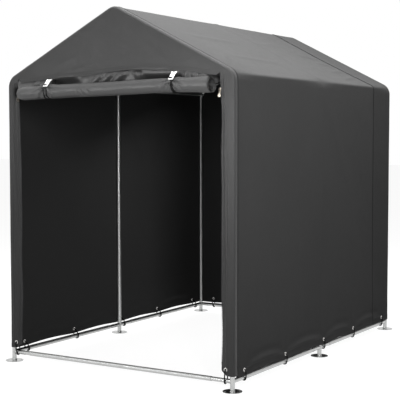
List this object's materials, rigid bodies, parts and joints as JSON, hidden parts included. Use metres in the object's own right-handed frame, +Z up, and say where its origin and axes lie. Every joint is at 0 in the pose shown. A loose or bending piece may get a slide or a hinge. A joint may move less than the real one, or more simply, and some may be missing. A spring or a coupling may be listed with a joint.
{
  "type": "portable bike shelter",
  "caption": "Portable bike shelter: steel tube arches on round foot plates under a dark grey fabric cover, with the front door rolled up and tied.",
  "frame": {"origin": "on the ground, under the centre of the shelter's overall box", "axes": "+X to the right seen from the doorway, +Y from the doorway to the rear, +Z up"},
  "size_m": [1.526, 2.1754, 1.9478],
  "materials": {
    "galvanised_steel": "satin galvanised",
    "cover_fabric": "coated weave, faint sheen",
    "elastic_cord": "braided sheath",
    "white_plastic": "moulded",
    "plated_metal": "nickel plated"
  },
  "bodies": {
    "root": {"foot_front_left": "galvanised_steel", "foot_front_right": "galvanised_steel", "foot_middle_left": "galvanised_steel", "foot_middle_right": "galvanised_steel", "foot_rear_left": "galvanised_steel", "foot_rear_right": "galvanised_steel", "post_front_left": "galvanised_steel", "post_front_right": "galvanised_steel", "post_middle_left": "galvanised_steel", "post_middle_right": "galvanised_steel", "post_rear_left": "galvanised_steel", "post_rear_right": "galvanised_steel", "base_rail_front": "galvanised_steel", "base_rail_rear": "galvanised_steel", "base_rails_left": "galvanised_steel", "base_rails_right": "galvanised_steel", "eave_elbows_front": "galvanised_steel", "eave_elbows_middle": "galvanised_steel", "eave_elbows_rear": "galvanised_steel", "rafters_front": "galvanised_steel", "rafters_middle": "galvanised_steel", "rafters_rear": "galvanised_steel", "ridge_elbow_front": "galvanised_steel", "ridge_elbow_middle": "galvanised_steel", "ridge_elbow_rear": "galvanised_steel", "eave_purlins_left": "galvanised_steel", "eave_purlins_right": "galvanised_steel", "ridge_purlins": "galvanised_steel", "side_wall_left": "cover_fabric", "side_wall_right": "cover_fabric", "roof_left": "cover_fabric", "roof_right": "cover_fabric", "rear_wall": "cover_fabric", "front_gable": "cover_fabric", "front_strip_left": "cover_fabric", "front_strip_right": "cover_fabric", "rolled_door": "cover_fabric", "roll_ties": "elastic_cord", "roll_toggles": "white_plastic", "zip_pulls": "plated_metal", "eyelets": "plated_metal", "hem_loops": "elastic_cord"}
  },
  "joints": []
}
